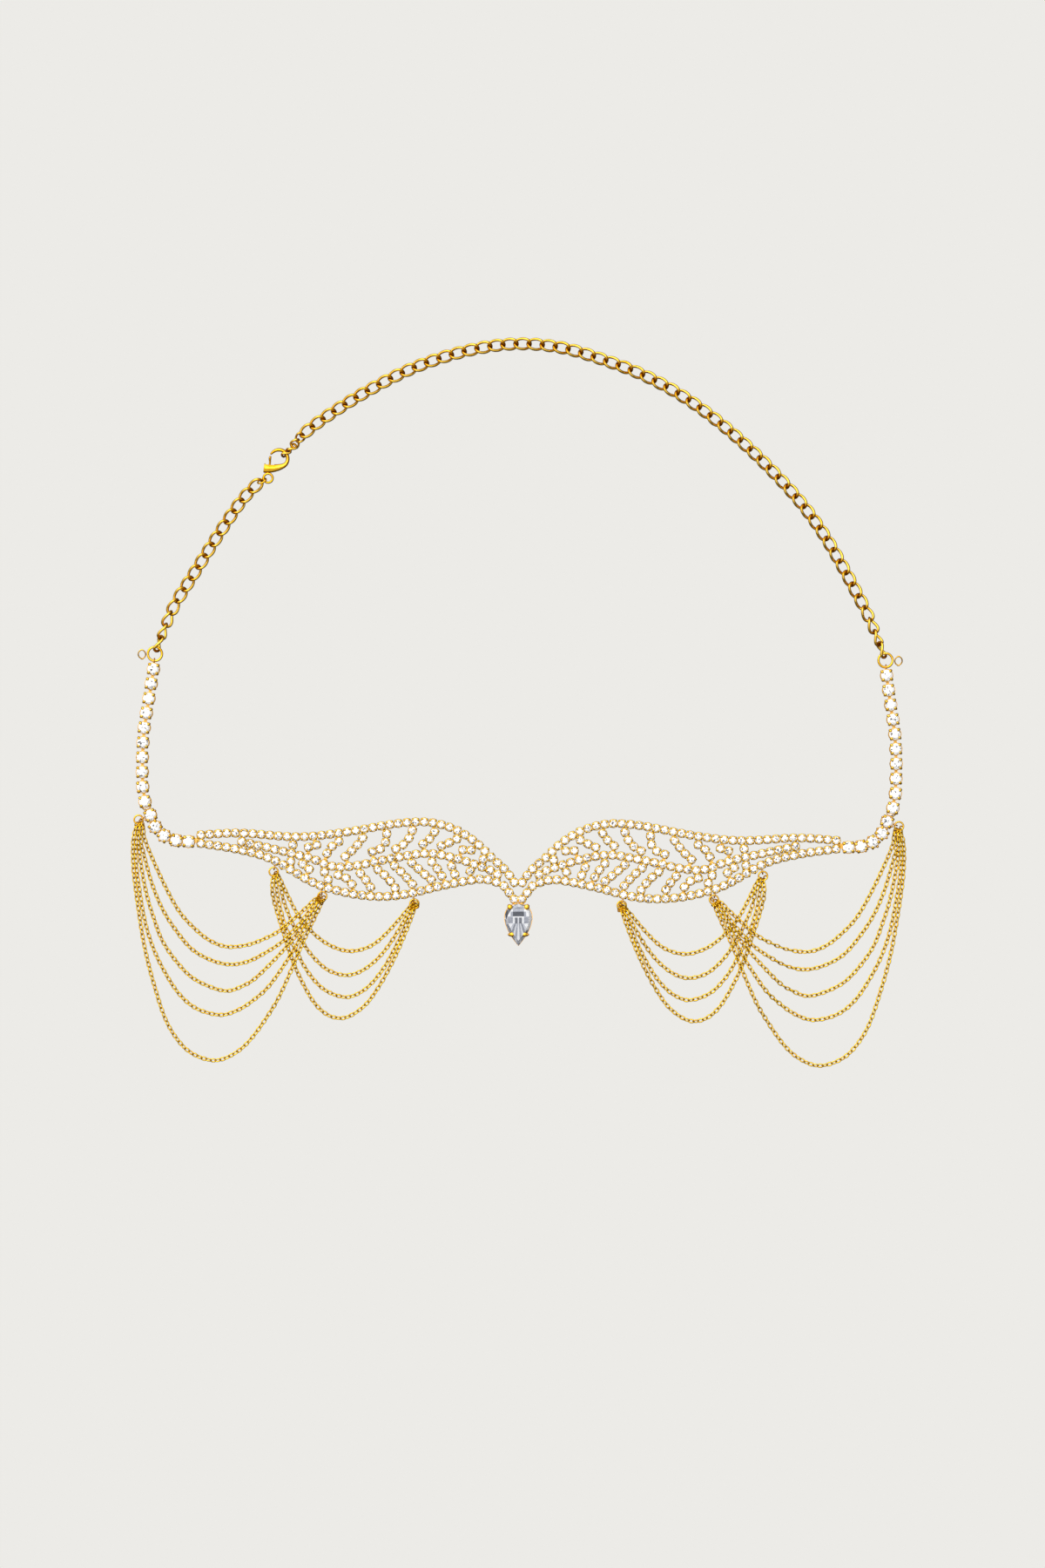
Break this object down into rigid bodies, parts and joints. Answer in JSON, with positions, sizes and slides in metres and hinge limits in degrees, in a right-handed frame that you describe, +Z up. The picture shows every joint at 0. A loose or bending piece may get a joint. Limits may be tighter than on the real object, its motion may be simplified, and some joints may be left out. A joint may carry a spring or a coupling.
{
  "type": "rhinestone headpiece",
  "caption": "Forehead chain of two leaf-shaped rhinestone wings meeting at a pear stone, with cup-chain straps, a chain over the head, a lever clasp and draped fine-chain swags.",
  "frame": {"origin": "middle of the box round the part to within 1 mm, on the symmetry line of the wings and on the surface that it lies on", "axes": "+X to the wearer's left strap as the part lies face up, +Y from the pear stone to the top of the chain over the head, +Z up out of the stones"},
  "size_m": [0.2087, 0.1964, 0.0042],
  "materials": {
    "gold": "polished gold plating",
    "crystal": "cut and polished",
    "pear_crystal": "cut and polished"
  },
  "bodies": {
    "headpiece": {"headpiece_frame": "gold", "pear_stone": "pear_crystal", "small_stones_left": "crystal", "strap_left": "gold", "strap_stones_left": "crystal", "end_ring_left": "gold", "pin_loop_left": "gold", "curb_chain_left": "gold", "small_stones_right": "crystal", "strap_right": "gold", "strap_stones_right": "crystal", "end_ring_right": "gold", "pin_loop_right": "gold", "curb_chain_right": "gold", "short_chain": "gold", "clasp_body": "gold", "clasp_ring": "gold", "swag_ring_a_left": "gold", "swag_ring_b_left": "gold", "swag_ring_c_left": "gold", "swag_ring_d_left": "gold", "swag_ring_a_right": "gold", "swag_ring_b_right": "gold", "swag_ring_c_right": "gold", "swag_ring_d_right": "gold", "outer_swag_1_left": "gold", "outer_swag_2_left": "gold", "outer_swag_3_left": "gold", "outer_swag_4_left": "gold", "outer_swag_5_left": "gold", "outer_swag_1_right": "gold", "outer_swag_2_right": "gold", "outer_swag_3_right": "gold", "outer_swag_4_right": "gold", "outer_swag_5_right": "gold", "inner_swag_1_left": "gold", "inner_swag_2_left": "gold", "inner_swag_3_left": "gold", "inner_swag_4_left": "gold", "inner_swag_1_right": "gold", "inner_swag_2_right": "gold", "inner_swag_3_right": "gold", "inner_swag_4_right": "gold"},
    "clasp_lever": {"clasp_lever": "gold"}
  },
  "joints": [
    {"name": "clasp_lever_hinge", "type": "hinge", "parent": "headpiece", "child": "clasp_lever", "pos_m": [-0.0671, 0.0628, 0.00135], "axis": [0, 0, -1], "range_deg": [0, 25], "stiffness_Nm_per_rad": 0.00002}
  ]
}
